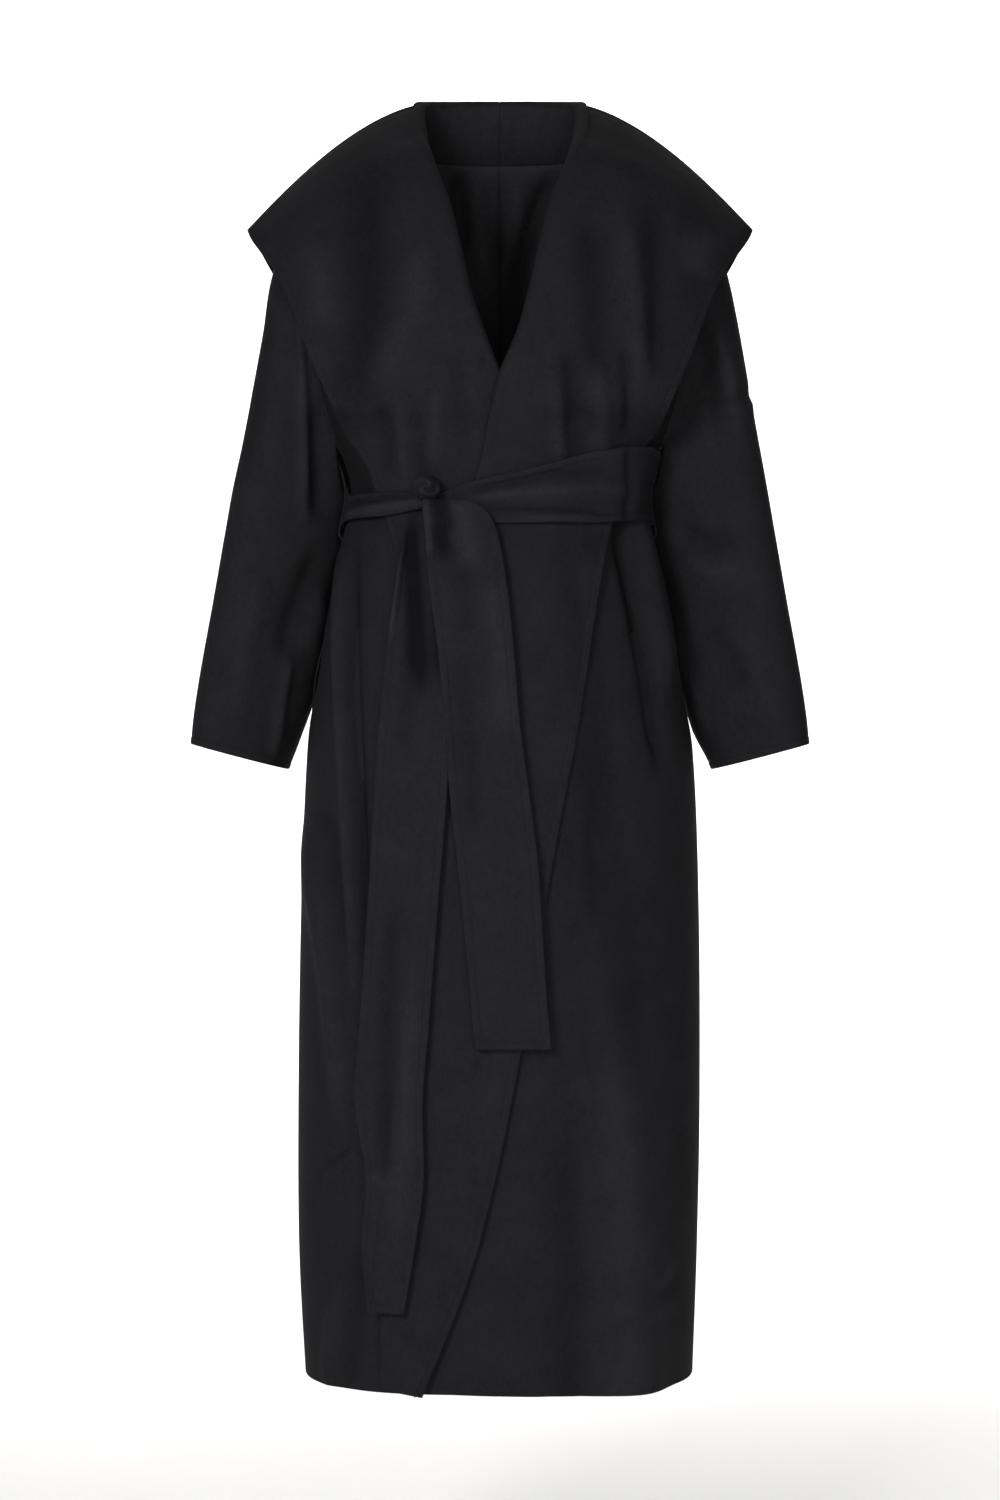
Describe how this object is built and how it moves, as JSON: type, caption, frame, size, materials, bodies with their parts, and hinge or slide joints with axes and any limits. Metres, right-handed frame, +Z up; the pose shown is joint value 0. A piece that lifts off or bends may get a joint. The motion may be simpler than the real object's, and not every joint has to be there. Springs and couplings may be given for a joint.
{
  "type": "hooded coat",
  "caption": "Long black wool wrap coat with a folded-down hood, wide lapels turned back to the hem, open sleeves, side pockets and a tie belt, hollow as if worn.",
  "frame": {"origin": "base of the neck between the shoulders, where the wearer holds the coat up", "axes": "+Z up towards the neck, -Y the way the wearer faces, +X the wearer's left"},
  "size_m": [0.6144, 0.3382, 1.2807],
  "materials": {
    "wool": "matt black double-faced wool with a short brushed nap",
    "belt_wool": "the same wool, doubled and stitched along its edges"
  },
  "bodies": {
    "root": {"front_left": "wool", "front_right": "wool", "back_left": "wool", "back_right": "wool", "sleeve_left": "wool", "sleeve_right": "wool", "hood_left": "wool", "hood_right": "wool", "pocket_left": "wool", "pocket_right": "wool", "belt_wrap_left": "belt_wool", "belt_wrap_right": "belt_wool", "belt_knot": "belt_wool", "belt_tail_over": "belt_wool", "belt_tail_under": "belt_wool", "belt_loop_left": "belt_wool", "belt_loop_right": "belt_wool"}
  },
  "joints": []
}
